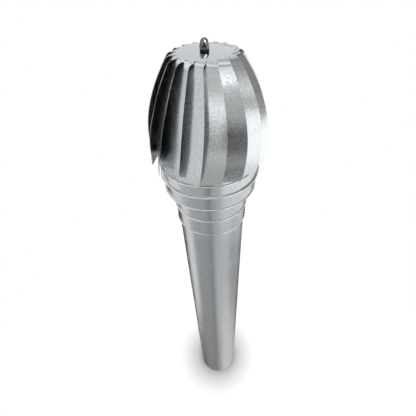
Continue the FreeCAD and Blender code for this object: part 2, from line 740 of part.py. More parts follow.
def turned(across, depth, step):
    """A point of the tooth in plan, turned on by a number of vane steps."""
    angle = "(%d * vane_step * 1deg)" % step
    return ("(%s) * cos%s + (%s) * sin%s" % (across, angle, depth, angle),
            "(%s) * sin%s - (%s) * cos%s" % (across, angle, depth, angle))


teeth = []
for step in range(int(number("vane_count"))):
    teeth.append(turned("tooth_start", "bend_line", step))
    teeth.append(turned("edge_top", "bend_line", step))
loop(sketch, teeth)
ring(sketch, "stud_radius + hole_gap")
pad(cap_plate, sketch, "cap_disc", "cap_gauge")
place(cap_plate, "vane_azimuth")

# Skirt ring: a rolled band with a wired lower edge and a bead, that the feet of the vanes are riveted to
skirt_ring = body_for("skirt_ring")
sketch = sketch_on(skirt_ring, "skirt_section", "XZ_Plane")
loop(
    sketch,
    rolled_edge("skirt_radius", "skirt_inside", "skirt_roll_centre", "(skirt_roll / 2)",
                "(skirt_bottom + skirt_roll / 2)")
    + bead_up("skirt_radius", "skirt_bead")
    + [("skirt_radius", "skirt_top"), ("skirt_inside", "skirt_top")]
    + bead_down("skirt_inside", "skirt_bead"))
revolve(skirt_ring, sketch, "skirt_wall")
sketch = sketch_on(skirt_ring, "rivet_hole_outline", "XZ_Plane", across="vane_rivet_offset", up="rivet_level")
ring(sketch, "vane_rivet_diameter / 2 + hole_gap")
hole = pocket(skirt_ring, sketch, "rivet_hole", backwards=True)
around(skirt_ring, hole, "rivet_holes", "vane_count")
place(skirt_ring, "vane_azimuth")

# Vane rivets: a domed head on each vane's foot, closed against the inside of the skirt
vane_rivets = body_for("vane_rivets")
sketch = sketch_on(vane_rivets, "rivet_section", "XY_Plane", across="vane_rivet_offset", out="rivet_level")
FACE = "(-vane_reach - vane_gauge / 2)"
SHANK = "(vane_rivet_diameter / 2)"
HEAD = "vane_rivet_diameter * rivet_head_reach"
DOME = "vane_rivet_diameter * rivet_head_rise"
TAIL = "vane_rivet_diameter * rivet_tail_reach"
CLOSED = "(-sqrt(skirt_inside ^ 2 - (vane_rivet_offset - %s) ^ 2))" % TAIL
loop(sketch, [
    ("0", FACE + " - " + DOME),
    (HEAD, FACE, crown(HEAD, DOME)),
    (SHANK, FACE),
    (SHANK, CLOSED),
    (TAIL, CLOSED),
    (TAIL, CLOSED + " + vane_rivet_diameter * rivet_tail_rise"),
    ("0", CLOSED + " + vane_rivet_diameter * rivet_tail_rise"),
])
rivet = revolve(vane_rivets, sketch, "rivet")
around(vane_rivets, rivet, "rivets", "vane_count")
place(vane_rivets, "vane_azimuth")

# Vane blank: a sheet bent to a belly and a tight shoulder, cut to its outline, with a tab for the cap
vane_blank = body_for("vane_blank")
TOP = "(shoulder_level + vane_shoulder_radius + vane_gauge / 2)"


def on_belly(side):
    """Where the belly meets the shoulder, on one face of the sheet."""
    radius = "(vane_belly_radius %s vane_gauge / 2)" % side
    return ("-(belly_centre + %s * shoulder_cosine)" % radius,
            "vane_foot + %s * shoulder_sine" % radius)


sketch = sketch_on(vane_blank, "side_profile", "YZ_Plane", out="vane_inner_foot")
loop(sketch, [
    ("-vane_reach + vane_gauge / 2", "vane_foot", "(vane_belly_radius - vane_gauge / 2)"),
    ("-vane_reach - vane_gauge / 2", "vane_foot"),
    on_belly("+") + ("-(vane_belly_radius + vane_gauge / 2)",),
    ("-bend_line", TOP, "-(vane_shoulder_radius + vane_gauge / 2)"),
    ("-(bend_line - tab_depth)", TOP),
    ("-(bend_line - tab_depth)", TOP + " - vane_gauge"),
    ("-bend_line", TOP + " - vane_gauge"),
    on_belly("-") + ("(vane_shoulder_radius - vane_gauge / 2)",),
])
pad(vane_blank, sketch, "bent_strip", "vane_edge_reach - vane_inner_foot + blank_margin")
sketch = sketch_on(vane_blank, "blank_outline", "XZ_Plane")
loop(sketch, [
    ("edge_low - vane_foot_corner", "vane_foot - blank_margin"),
    ("edge_low - vane_foot_corner", "vane_foot"),
    ("edge_low", "vane_foot + vane_foot_corner", "vane_foot_corner"),
    ("edge_top", "vane_top", "vane_edge_radius"),
    ("edge_top", "vane_top + blank_margin"),
    ("vane_edge_reach + 2 * blank_margin", "vane_top + blank_margin"),
    ("vane_edge_reach + 2 * blank_margin", "vane_foot - blank_margin"),
])
loop(sketch, [
    ("vane_inner_foot", "vane_foot + lug_height"),
    ("vane_inner_edge", "vane_foot + lug_height + lug_slope"),
    ("vane_inner_edge", "vane_top - relief_drop"),
    ("tooth_start + tab_inner_gap", "vane_top - relief_drop"),
    ("tooth_start + tab_inner_gap", "vane_top + blank_margin"),
    ("vane_inner_foot - blank_margin", "vane_top + blank_margin"),
    ("vane_inner_foot - blank_margin", "vane_foot + lug_height"),
])
ring(sketch, "vane_rivet_diameter / 2 + hole_gap", "vane_rivet_offset", "rivet_level")
pocket(vane_blank, sketch, "blank_cut", backwards=True)
sketch = sketch_on(vane_blank, "tab_outline", "XY_Plane", out="vane_top")
TAB_END = "(bend_line - tab_depth)"
loop(sketch, [
    ("edge_top - tab_outer_gap", "-bend_line"),
    ("edge_top + blank_margin", "-bend_line"),
    ("edge_top + blank_margin", "blank_margin - " + TAB_END),
    ("%s * edge_top / bend_line - tab_outer_gap" % TAB_END, "blank_margin - " + TAB_END),
    ("%s * edge_top / bend_line - tab_outer_gap" % TAB_END, "-" + TAB_END),
])
pocket(vane_blank, sketch, "tab_cut", "vane_gauge + seat_gap")
vanes = []
for step in range(int(number("vane_count"))):
    vanes.append(copy_of(vane_blank, "vane_%02d" % (step + 1), turn="vane_azimuth + %d * vane_step" % step))

# Every piece by the name of its node, checked before anything is written
PIECES = [
    flue_pipe, neck_collar, base_cup, bearing_spider, bearing_tube, cap_plate, skirt_ring, rotor_shaft,
    shaft_collar, domed_nut, seal_washer, penny_washer, lock_nut, grub_screw, shaft_clip, vane_rivets,
    tube_screws, tube_nuts,
]
PIECES += [doc.getObject(name) for name in (
    "spider_rivets", "cup_rivets", "lower_bearing_clip", "upper_bearing_clip")]
PIECES += bearing_parts + vanes
doc.removeObject("Probe")
doc.recompute()
for item in doc.Objects:
    if {"Invalid", "Error"} & set(item.State):
        raise RuntimeError("%s did not build" % item.Name)
for piece in PIECES:
    if piece.Shape.isNull() or not piece.Shape.isValid() or not piece.Shape.Solids:
        raise RuntimeError("%s is not a sound solid" % piece.Label)
os.makedirs("parts", exist_ok=True)
for piece in PIECES:
    piece.Shape.exportStep("parts/%s.step" % piece.Label)
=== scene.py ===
"""A galvanised roof turbine ventilator on its flue pipe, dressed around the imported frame."""

from math import acos, asin, atan, cos, degrees, hypot, pi, radians, sin, sqrt, tan

import bmesh
import bpy
from mathutils import Matrix, Vector, noise


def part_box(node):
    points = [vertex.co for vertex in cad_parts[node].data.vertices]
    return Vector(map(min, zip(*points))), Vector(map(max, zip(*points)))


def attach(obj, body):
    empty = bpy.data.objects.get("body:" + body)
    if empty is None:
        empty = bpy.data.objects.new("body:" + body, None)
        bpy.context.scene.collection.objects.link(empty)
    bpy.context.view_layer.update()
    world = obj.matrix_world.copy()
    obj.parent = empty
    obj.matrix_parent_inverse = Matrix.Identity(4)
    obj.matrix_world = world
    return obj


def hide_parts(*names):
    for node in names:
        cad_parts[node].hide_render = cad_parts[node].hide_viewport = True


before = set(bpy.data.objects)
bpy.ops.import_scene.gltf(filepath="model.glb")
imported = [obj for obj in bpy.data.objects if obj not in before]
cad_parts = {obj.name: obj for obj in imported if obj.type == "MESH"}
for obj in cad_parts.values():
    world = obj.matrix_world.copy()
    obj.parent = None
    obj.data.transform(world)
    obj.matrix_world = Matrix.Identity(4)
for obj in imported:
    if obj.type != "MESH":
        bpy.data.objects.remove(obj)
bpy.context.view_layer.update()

MM = 0.001

# The camera stands just in front of the head, above the cap, and looks down the pipe.
# Its place and tilt come from the photograph's steep perspective: the foot is far smaller than the head.
CAMERA_PLACE = Vector((-8.4, -474.8, 1486.4)) * MM
CAMERA_TILT = 45.2
CAMERA_ROLL = -3.28
FOCAL_PIXELS = 285.2
FRAME_PIXELS = 416.0

camera_data = bpy.data.cameras.new("camera")
camera_data.sensor_width = 36.0
camera_data.lens = camera_data.sensor_width * FOCAL_PIXELS / FRAME_PIXELS
camera_data.clip_start = 10 * MM
camera = bpy.data.objects.new("camera", camera_data)
bpy.context.scene.collection.objects.link(camera)
aim = Matrix.Rotation(radians(90.0 - CAMERA_TILT), 4, "X") @ Matrix.Rotation(radians(CAMERA_ROLL), 4, "Z")
camera.matrix_world = Matrix.Translation(CAMERA_PLACE) @ aim
bpy.context.scene.camera = camera
bpy.context.scene.view_settings.view_transform = "Standard"

# The studio is a plain white room with soft light from all sides. Cards and flags stand round the object
# for the bright sheet metal to mirror, as such metal is photographed. Only its reflections see them.
# Matt surfaces see the plain room, whose light is a little stronger from the right and from the front.
# A card is: from and to azimuth (0 is right, -90 is the camera's side), from and to height, brightness.
# Each card covers the ones before it.
ROOM_WHITE = 1.0
WINDOW_SIDE = (0.35, -0.15, 0.0)
CARD_BLUR = 6.0
CARDS = {
    "ceiling": (-200.0, 200.0, 40.0, 95.0, 0.50),
    "left_wall": (-200.0, -130.0, -45.0, 46.0, 0.70),
    "left_wall_behind": (146.0, 200.0, -45.0, 46.0, 0.72),
    "front_left_wall": (-140.0, -90.0, -45.0, 46.0, 0.58),
    "front_left_window": (-140.0, -97.0, -3.0, 20.0, 1.12),
    "front_left_foot": (-140.0, -97.0, -45.0, -23.0, 0.44),
    "front_left_flag": (-122.0, -101.0, -10.0, 9.0, 0.12),
    "front_wall": (-99.0, -58.0, 2.0, 46.0, 0.48),
    "front_lamp": (-99.0, -63.0, 29.0, 36.0, 1.9),
    "front_flag": (-99.0, -63.0, -45.0, 6.0, 0.09),
    "front_gleam": (-99.0, -63.0, -28.0, -20.0, 0.42),
    "right_wall": (-63.0, -10.0, 0.0, 95.0, 0.33),
    "right_window": (-63.0, -20.0, 16.0, 23.0, 1.15),
    "right_soft_box": (-63.0, -10.0, -40.0, 5.0, 1.25),
    "right_soft_foot": (-63.0, -27.0, -44.0, -28.0, 0.90),
    "far_right_wall": (-20.0, 50.0, -15.0, 95.0, 0.26),
    "far_right_soft_box": (-20.0, 45.0, -40.0, -9.0, 1.33),
    "edge_soft_box": (27.0, 47.0, -14.0, 10.0, 1.10),
    "ceiling_lamp": (-200.0, 200.0, 70.0, 95.0, 1.0),
    "back_right_flag": (44.0, 64.0, -34.0, 46.0, 0.02),
    "back_wall": (64.0, 110.0, 0.0, 46.0, 0.75),
    "back_left_light": (104.0, 151.0, 10.0, 60.0, 0.95),
    "back_left_flag": (104.0, 151.0, -35.0, 14.0, 0.015),
    "floor": (-200.0, 200.0, -95.0, -38.0, 0.34),
    "floor_left_gleam": (-172.0, -107.0, -50.0, -38.0, 0.45),
    "floor_front_strip": (-107.0, -91.0, -95.0, -38.0, 0.24),
    "floor_front": (-91.0, -60.0, -95.0, -38.0, 0.52),
    "floor_front_foot": (-91.0, -66.0, -95.0, -69.0, 0.36),
    "floor_front_right": (-77.0, -50.0, -70.0, -56.0, 0.68),
    "floor_right": (-68.0, 75.0, -95.0, -38.0, 0.50),
    "floor_right_foot": (-60.0, 20.0, -95.0, -62.0, 0.72),
    "floor_right_gleam": (-68.0, 45.0, -48.0, -38.0, 0.86),
    "floor_far_right": (-22.0, 75.0, -65.0, -48.0, 0.34),
    "floor_back_right": (36.0, 62.0, -68.0, -38.0, 0.06),
    "floor_behind_left": (146.0, 200.0, -67.0, -38.0, 0.82),
    "floor_far_left": (-200.0, -172.0, -67.0, -38.0, 0.88),
    "floor_back_left": (96.0, 148.0, -95.0, -38.0, 0.02),
    "floor_foot_left": (-200.0, -107.0, -95.0, -70.0, 0.24),
    "floor_foot_behind": (100.0, 200.0, -95.0, -66.0, 0.04),
}


def add_node(tree, kind, links=None, **settings):
    """A node with its settings; links gives what feeds each input, by the input's name or number."""
    node = tree.nodes.new(kind)
    for name, value in settings.items():
        setattr(node, name, value)
    for socket, source in (links or {}).items():
        if isinstance(source, bpy.types.NodeSocket):
            tree.links.new(source, node.inputs[socket])
        else:
            node.inputs[socket].default_value = source
    return node


def band(tree, value, low, high, blur):
    """1 between low and high, 0 outside, with soft edges."""
    edges = []
    for outside, inside in ((low - blur / 2, low + blur / 2), (high + blur / 2, high - blur / 2)):
        edge = add_node(tree, "ShaderNodeMapRange", {
            "Value": value, "From Min": outside, "From Max": inside}, interpolation_type="SMOOTHSTEP")
        edges.append(edge.outputs[0])
    return add_node(tree, "ShaderNodeMath", dict(enumerate(edges)), operation="MULTIPLY").outputs[0]


world = bpy.data.worlds.new("studio")
bpy.context.scene.world = world
world.use_nodes = True
sky = world.node_tree
sky.nodes.clear()
look = add_node(sky, "ShaderNodeTexCoord").outputs["Generated"]
along = add_node(sky, "ShaderNodeSeparateXYZ", {0: look}).outputs
turn = add_node(sky, "ShaderNodeMath", {0: along["Y"], 1: along["X"]}, operation="ARCTAN2").outputs[0]
azimuth = add_node(sky, "ShaderNodeMath", {0: turn}, operation="DEGREES").outputs[0]
slope = add_node(sky, "ShaderNodeMath", {0: along["Z"]}, operation="ARCSINE").outputs[0]
height = add_node(sky, "ShaderNodeMath", {0: slope}, operation="DEGREES").outputs[0]
mirrored = ROOM_WHITE
for low_turn, high_turn, low, high, level in CARDS.values():
    inside = add_node(sky, "ShaderNodeMath", {
        0: band(sky, azimuth, low_turn, high_turn, CARD_BLUR),
        1: band(sky, height, low, high, CARD_BLUR)}, operation="MULTIPLY").outputs[0]
    mirrored = add_node(sky, "ShaderNodeMix", {
        0: inside, 2: mirrored, 3: level}, data_type="FLOAT").outputs[0]
path = add_node(sky, "ShaderNodeLightPath").outputs
side = add_node(sky, "ShaderNodeVectorMath", {
    0: look, 1: WINDOW_SIDE}, operation="DOT_PRODUCT").outputs["Value"]
matt_light = add_node(sky, "ShaderNodeMath", {
    0: side, 1: path["Is Diffuse Ray"], 2: ROOM_WHITE}, operation="MULTIPLY_ADD").outputs[0]
brightness = add_node(sky, "ShaderNodeMix", {
    0: path["Is Glossy Ray"], 2: matt_light, 3: mirrored}, data_type="FLOAT").outputs[0]
room = add_node(sky, "ShaderNodeBackground", {"Color": brightness, "Strength": 1.0})
add_node(sky, "ShaderNodeOutputWorld", {"Surface": room.outputs[0]})

# The floor is a pale matt sheet that fades into the white room. It takes the object's soft shadow, and a
# painted shade darkens its colour and glow where it meets the pipe's foot. Metal doesn't mirror it.
FLOOR_REACH = 1100 * MM
FLOOR_FADE = 450 * MM
FLOOR_SIDES = 96
FLOOR_WHITE = 0.80
FLOOR_LIFT = 0.30
PAINTED_SHADE_REACH = 115 * MM
PAINTED_SHADE_DEPTH = 1.4


def blank_material(name):
    """A material that has no nodes yet, and its node tree."""
    material = bpy.data.materials.new(name)
    material.use_nodes = True
    material.node_tree.nodes.clear()
    return material, material.node_tree


floor_mesh = bpy.data.meshes.new("floor")
shape = bmesh.new()
bmesh.ops.create_circle(shape, cap_ends=True, segments=FLOOR_SIDES, radius=FLOOR_REACH)
shape.to_mesh(floor_mesh)
shape.free()
floor = bpy.data.objects.new("floor", floor_mesh)
bpy.context.scene.collection.objects.link(floor)
paper, tree = blank_material("white_paper")
spot = add_node(tree, "ShaderNodeTexCoord").outputs["Object"]
far = add_node(tree, "ShaderNodeVectorMath", {0: spot}, operation="LENGTH").outputs["Value"]
fade = add_node(tree, "ShaderNodeMapRange", {
    "Value": far, "From Min": FLOOR_REACH - FLOOR_FADE, "From Max": FLOOR_REACH},
    interpolation_type="SMOOTHSTEP").outputs[0]
glossy = add_node(tree, "ShaderNodeLightPath").outputs["Is Glossy Ray"]
fade = add_node(tree, "ShaderNodeMath", {0: fade, 1: glossy}, operation="MAXIMUM").outputs[0]
# Painted shade: ambient occlusion darkens the floor's colour and its glow near the pipe's foot.
painted_contact_shade = add_node(tree, "ShaderNodeAmbientOcclusion", {"Distance": PAINTED_SHADE_REACH}, samples=16).outputs["AO"]
painted_contact_shade = add_node(tree, "ShaderNodeMath", {0: painted_contact_shade, 1: PAINTED_SHADE_DEPTH}, operation="POWER").outputs[0]
white = add_node(tree, "ShaderNodeMath", {0: painted_contact_shade, 1: FLOOR_WHITE}, operation="MULTIPLY").outputs[0]
lift = add_node(tree, "ShaderNodeMath", {0: painted_contact_shade, 1: FLOOR_LIFT}, operation="MULTIPLY").outputs[0]
matt = add_node(tree, "ShaderNodeBsdfDiffuse", {"Color": white})
glow = add_node(tree, "ShaderNodeEmission", {"Color": (1.0, 1.0, 1.0, 1.0), "Strength": lift})
both = add_node(tree, "ShaderNodeAddShader", {0: matt.outputs[0], 1: glow.outputs[0]})
clear = add_node(tree, "ShaderNodeBsdfTransparent")
sheet = add_node(tree, "ShaderNodeMixShader", {0: fade, 1: both.outputs[0], 2: clear.outputs[0]})
add_node(tree, "ShaderNodeOutputMaterial", {"Surface": sheet.outputs[0]})
floor_mesh.materials.append(paper)

# A small lit card stands close before the nut, over the front of the cap, and gives its dome a window of
# light. It glows on the nut's side only and is clear from behind, so the vanes' shoulders don't mirror it.
LIT_CARD_FACE = (36 * MM, 62 * MM)
LIT_CARD_FROM_NUT = Vector((15, -28, 26)) * MM
LIT_CARD_AIM = Vector((0, 0, 15)) * MM
LIT_CARD_GLOW = 4.5

nut_top = Vector((0.0, 0.0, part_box("domed_nut")[1].z))
card_place = nut_top + LIT_CARD_FROM_NUT
facing = (nut_top + LIT_CARD_AIM - card_place).to_track_quat("Z", "Y")
card_size = Vector((*LIT_CARD_FACE, 1.0))
card_mesh = bpy.data.meshes.new("lit_card")
shape = bmesh.new()
bmesh.ops.create_grid(shape, x_segments=1, y_segments=1, size=0.5,
                      matrix=Matrix.LocRotScale(card_place, facing, card_size))
shape.to_mesh(card_mesh)
shape.free()
lit_card = bpy.data.objects.new("lit_card", card_mesh)
bpy.context.scene.collection.objects.link(lit_card)
lit_card.visible_camera = False
lit_card.visible_diffuse = False
lit_card.visible_shadow = False
lit_cloth, tree = blank_material("lit_white_cloth")
behind = add_node(tree, "ShaderNodeNewGeometry").outputs["Backfacing"]
glow = add_node(tree, "ShaderNodeEmission", {"Color": (1.0, 1.0, 1.0, 1.0), "Strength": LIT_CARD_GLOW})
clear = add_node(tree, "ShaderNodeBsdfTransparent")
sheet = add_node(tree, "ShaderNodeMixShader", {0: behind, 1: glow.outputs[0], 2: clear.outputs[0]})
add_node(tree, "ShaderNodeOutputMaterial", {"Surface": sheet.outputs[0]})
card_mesh.materials.append(lit_cloth)

# The flue pipe is one galvanised sheet, rolled round and closed by a flat lock seam down the back.
# Its lower end is a plain cut edge, and it goes up inside the neck. A rolled sheet is never quite round,
# so its reflections wander a little along its length.
SHEET = 0.6 * MM
SPIN_STEPS = 144
MERGE = 0.001 * MM
CLOUD_WIDTH = 1000 * MM / 22
SEAM_WIDTH = 8 * MM
SEAM_PROUD = 1.2 * MM
SEAM_ROUND = 0.5 * MM
SEAT_GAP = 0.3 * MM
PIPE_RINGS = 40
PIPE_WAVE = 0.35 * MM
PIPE_WAVE_LENGTH = 120 * MM


def srgb(code):
    """A hex colour as the linear colour that a shader takes."""
    parts = [int(code[k:k + 2], 16) / 255 for k in (1, 3, 5)]
    return [c / 12.92 if c <= 0.04045 else ((c + 0.055) / 1.055) ** 2.4 for c in parts] + [1.0]


def galvanised(name, colour, crystal, roughness, spread, tilt, smudge=0.06):
    """Hot-dip galvanised sheet. The zinc freezes in crystals a millimetre or two wide, the spangle: each is
    its own shade and leans its own way, so a reflection breaks into fine bright and dark grains. Handling
    has left wide clouds of haze, where the metal is a little duller."""
    material, tree = blank_material(name)
    place = add_node(tree, "ShaderNodeTexCoord").outputs["Object"]
    bent = add_node(tree, "ShaderNodeTexNoise", {"Vector": place, "Scale": 0.4 / crystal, "Detail": 1.0})
    wander = add_node(tree, "ShaderNodeVectorMath", {
        0: bent.outputs["Color"], "Scale": crystal}, operation="SCALE").outputs[0]
    spot = add_node(tree, "ShaderNodeVectorMath", {0: place, 1: wander}, operation="ADD").outputs[0]
    cells = add_node(tree, "ShaderNodeTexVoronoi", {"Vector": spot, "Scale": 1.0 / crystal}).outputs["Color"]
    grain = add_node(tree, "ShaderNodeSeparateColor", {0: cells}).outputs
    lean = add_node(tree, "ShaderNodeVectorMath", {
        0: cells, 1: (0.5, 0.5, 0.5)}, operation="SUBTRACT").outputs[0]
    lean = add_node(tree, "ShaderNodeVectorMath", {0: lean, "Scale": tilt}, operation="SCALE").outputs[0]
    normal = add_node(tree, "ShaderNodeNewGeometry").outputs["Normal"]
    normal = add_node(tree, "ShaderNodeVectorMath", {0: normal, 1: lean}, operation="ADD").outputs[0]
    normal = add_node(tree, "ShaderNodeVectorMath", {0: normal}, operation="NORMALIZE").outputs[0]
    clouds = add_node(tree, "ShaderNodeTexNoise", {
        "Vector": place, "Scale": 1.0 / CLOUD_WIDTH, "Detail": 3.0, "Roughness": 0.55}).outputs["Fac"]
    haze = add_node(tree, "ShaderNodeMapRange", {
        "Value": clouds, "From Min": 0.35, "From Max": 0.7, "To Min": 0.0, "To Max": smudge}).outputs[0]
    rough = add_node(tree, "ShaderNodeMapRange", {
        "Value": grain[0], "To Min": roughness, "To Max": roughness + spread}).outputs[0]
    rough = add_node(tree, "ShaderNodeMath", {0: rough, 1: haze}, operation="ADD").outputs[0]
    shade = add_node(tree, "ShaderNodeMapRange", {
        "Value": grain[1], "To Min": 0.90, "To Max": 1.06}).outputs[0]
    base = add_node(tree, "ShaderNodeMix", {
        0: 1.0, 6: srgb(colour), 7: shade}, data_type="RGBA", blend_type="MULTIPLY").outputs[2]
    metal = add_node(tree, "ShaderNodeBsdfPrincipled", {
        "Base Color": base, "Metallic": 1.0, "Roughness": rough, "Normal": normal})
    add_node(tree, "ShaderNodeOutputMaterial", {"Surface": metal.outputs[0]})
    return material


def piece_from(shape, name, material, smooth=35.0):
    """The finished mesh as a named piece with its material, smooth but for its real edges."""
    mesh = bpy.data.meshes.new(name)
    shape.to_mesh(mesh)
    shape.free()
    mesh.shade_smooth()
    mesh.set_sharp_from_angle(angle=radians(smooth))
    mesh.materials.append(material)
    piece = bpy.data.objects.new(name, mesh)
    bpy.context.scene.collection.objects.link(piece)
    return piece


def spin_outline(shape, outline, steps):
    """A closed outline of (radius, level) points turned once about the Z axis."""
    corners = [shape.verts.new((radius, 0.0, level)) for radius, level in outline]
    edges = [shape.edges.new((corner, corners[k - 1])) for k, corner in enumerate(corners)]
    bmesh.ops.spin(shape, geom=corners + edges, cent=(0, 0, 0), axis=(0, 0, 1), angle=radians(360.0),
                   steps=steps, use_merge=True, use_duplicate=False)
    bmesh.ops.remove_doubles(shape, verts=shape.verts, dist=MERGE)
    bmesh.ops.recalc_face_normals(shape, faces=shape.faces)


def wobble(shape, height, length, seed):
    """The sheet's slight unevenness: each point moves outwards or inwards by a smooth random amount."""
    for corner in shape.verts:
        outwards = Vector((corner.co.x, corner.co.y, 0.0)).normalized()
        corner.co += outwards * height * noise.noise(corner.co / length + Vector((seed, 0.0, 0.0)))


def size_of(node):
    """The radius of a round node and its lowest and highest levels."""
    low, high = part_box(node)
    return (high.x - low.x) / 2, low.z, high.z


pipe_radius, pipe_foot, pipe_top = size_of("flue_pipe")
seam_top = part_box("neck_collar")[0].z - SEAT_GAP
seam_height = seam_top - pipe_foot

stack_zinc = galvanised("galvanised_pipe_sheet", "#D8DBDE", crystal=2.2 * MM, roughness=0.20, spread=0.09,
                        tilt=0.024)
shape = bmesh.new()
rise = [pipe_foot + (pipe_top - pipe_foot) * k / PIPE_RINGS for k in range(PIPE_RINGS + 1)]
outline = [(pipe_radius, level) for level in rise]
outline += [(pipe_radius - SHEET, level) for level in reversed(rise)]
spin_outline(shape, outline, SPIN_STEPS)
seam_size = (SEAM_WIDTH, SEAM_PROUD + SHEET, seam_height)
seam_middle = Vector((0.0, pipe_radius + (SEAM_PROUD - SHEET) / 2, pipe_foot + seam_height / 2))
bmesh.ops.create_cube(shape, size=1.0, matrix=Matrix.LocRotScale(seam_middle, None, seam_size))
folds = [edge for edge in shape.edges
         if edge.calc_length() > seam_height / 2 and edge.verts[0].co.y > pipe_radius]
bmesh.ops.bevel(shape, geom=folds, offset=SEAM_ROUND, affect="EDGES", segments=3, profile=0.5, material=-1)
upright = [edge for edge in shape.edges if edge.calc_length() > seam_height / 2]
bmesh.ops.subdivide_edges(shape, edges=upright, cuts=PIPE_RINGS - 1, use_grid_fill=True)
wobble(shape, PIPE_WAVE, PIPE_WAVE_LENGTH, seed=3.0)
pipe = piece_from(shape, "pipe", stack_zinc)
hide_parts("flue_pipe")
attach(pipe, "stack")

# The neck is a short sleeve of the same sheet over the top of the pipe. It is rolled in at its foot,
# stiffened by two swaged beads, and flanged outwards at its top, where the cup is riveted on.
NECK_STEP = 3.5 * MM
NECK_LOWER_BEAD = 45 * MM
NECK_UPPER_BEAD_DROP = 6 * MM
NECK_WAVE = 0.25 * MM
NECK_WAVE_LENGTH = 70 * MM
BEAD_PROUD = 2.0 * MM
BEAD_HALF = 2.4 * MM
BEAD_RADIUS = (BEAD_HALF ** 2 + BEAD_PROUD ** 2) / (2 * BEAD_PROUD)
BEAD_HIGHLIGHT_START = 0.5 * MM
ARC_STEPS = 10


def arc(centre_radius, centre_level, radius, start, end, steps):
    """Points of a round stretch, from start to end in degrees, counted from outwards towards up."""
    turns = [radians(start + (end - start) * k / steps) for k in range(steps + 1)]
    return [(centre_radius + radius * cos(turn), centre_level + radius * sin(turn)) for turn in turns]


def bead(wall, level, inside=False):
    """The round swelling of a bead: up the outside of a wall, or down its inside."""
    radius = BEAD_RADIUS - SHEET if inside else BEAD_RADIUS
    half_turn = degrees(acos((radius - BEAD_PROUD) / radius))
    points = arc(wall + BEAD_PROUD - radius, level, radius, -half_turn, half_turn, ARC_STEPS)
    return points[::-1] if inside else points


def rolled_edge(outside, inside, centre, roll, level):
    """A wall's lower edge rolled round a wire, from the wall's inside round to its outside."""
    start = degrees(acos((inside - centre) / roll))
    end = degrees(acos((outside - centre) / roll))
    return arc(centre, level, roll, start, 360.0 + end, 4 * ARC_STEPS)


def paint_bead_highlight(shape, wall, lowest, highest):
    """Beads and rolled edges take the second material: smoother, as the rolls leave it, and a painted
    highlight.
    """
    for face in shape.faces:
        middle = face.calc_center_median()
        if lowest < middle.z < highest and hypot(middle.x, middle.y) > wall + BEAD_HIGHLIGHT_START:
            face.material_index = 1


neck_flange, neck_foot, neck_top = size_of("neck_collar")
neck_radius = pipe_radius + NECK_STEP
neck_inside = neck_radius - SHEET
neck_roll = (NECK_STEP + BEAD_PROUD / 2 - SEAT_GAP) / 2
neck_beads = (neck_foot + NECK_LOWER_BEAD, neck_top - NECK_UPPER_BEAD_DROP)

shape = bmesh.new()
roll_centre = pipe_radius + SEAT_GAP + neck_roll
outline = rolled_edge(neck_radius, neck_inside, roll_centre, neck_roll, neck_foot + neck_roll)
for level in neck_beads:
    outline += bead(neck_radius, level)
outline += [(neck_radius, neck_top - SHEET), (neck_flange, neck_top - SHEET), (neck_flange, neck_top),
            (neck_inside, neck_top)]
for level in reversed(neck_beads):
    outline += bead(neck_inside, level, inside=True)
spin_outline(shape, outline, SPIN_STEPS)
wobble(shape, NECK_WAVE, NECK_WAVE_LENGTH, seed=11.0)
# The neck's rolled foot and beads take a smoother zinc painted paler than the wall: a painted highlight.
paint_bead_highlight(shape, neck_radius, neck_foot, neck_top - SHEET * 2)
smooth_painted_highlight_zinc = galvanised("smooth_zinc_bead_painted_highlight", "#F4F5F7", crystal=1.2 * MM, roughness=0.10, spread=0.05,
                       tilt=0.012, smudge=0.03)
neck = piece_from(shape, "neck", stack_zinc)
neck.data.materials.append(smooth_painted_highlight_zinc)
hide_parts("neck_collar")
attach(neck, "stack")

# The cup is spun from one disc of galvanised sheet and riveted on the neck's flange, with a bead at its
# foot. Its rim is hemmed inwards, and the rotor's ring turns round it with a narrow gap.
CUP_STEP = 15.5 * MM
CUP_CORNER = 2 * MM
CUP_BEAD_RISE = 4.8 * MM
CUP_HEM = 5 * MM
CUP_WAVE = 0.15 * MM
CUP_WAVE_LENGTH = 70 * MM

_, cup_low, cup_top = size_of("base_cup")
cup_radius = neck_radius + CUP_STEP
shape = bmesh.new()
outline = [(neck_inside, cup_low + SHEET), (neck_inside, cup_low)]
outline += arc(cup_radius - CUP_CORNER, cup_low + CUP_CORNER, CUP_CORNER, -90, 0, ARC_STEPS)
outline += bead(cup_radius, cup_low + CUP_BEAD_RISE)
outline += [(cup_radius, cup_top), (cup_radius - 2 * SHEET, cup_top),
            (cup_radius - 2 * SHEET, cup_top - CUP_HEM), (cup_radius - SHEET, cup_top - CUP_HEM)]
outline += bead(cup_radius - SHEET, cup_low + CUP_BEAD_RISE, inside=True)
outline += arc(cup_radius - CUP_CORNER, cup_low + CUP_CORNER, CUP_CORNER - SHEET, 0, -90, ARC_STEPS)
spin_outline(shape, outline, SPIN_STEPS)
wobble(shape, CUP_WAVE, CUP_WAVE_LENGTH, seed=17.0)
# The cup's bead takes the same smoother zinc with its painted highlight.
paint_bead_highlight(shape, cup_radius, cup_low, cup_top)
cup = piece_from(shape, "cup", stack_zinc)
cup.data.materials.append(smooth_painted_highlight_zinc)
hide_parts("base_cup")
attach(cup, "stack")

# Aluminium rivets with domed heads hold the cup and the spider on the neck's flange: one on each side of
# each arm, and one between the arms. Plain aluminium is pale and softly dull.
RIVET_WIDTH = 4 * MM
RIVET_HEAD = 0.9
RIVET_RISE = 0.4
RIVET_TAIL = 0.8
RIVET_CLOSED = 0.3
RIVET_STEPS = 24
RIVET_DOME_STEPS = 6
SPIDER_ARMS = 3
FOOT_HALF_PITCH = 6 * MM


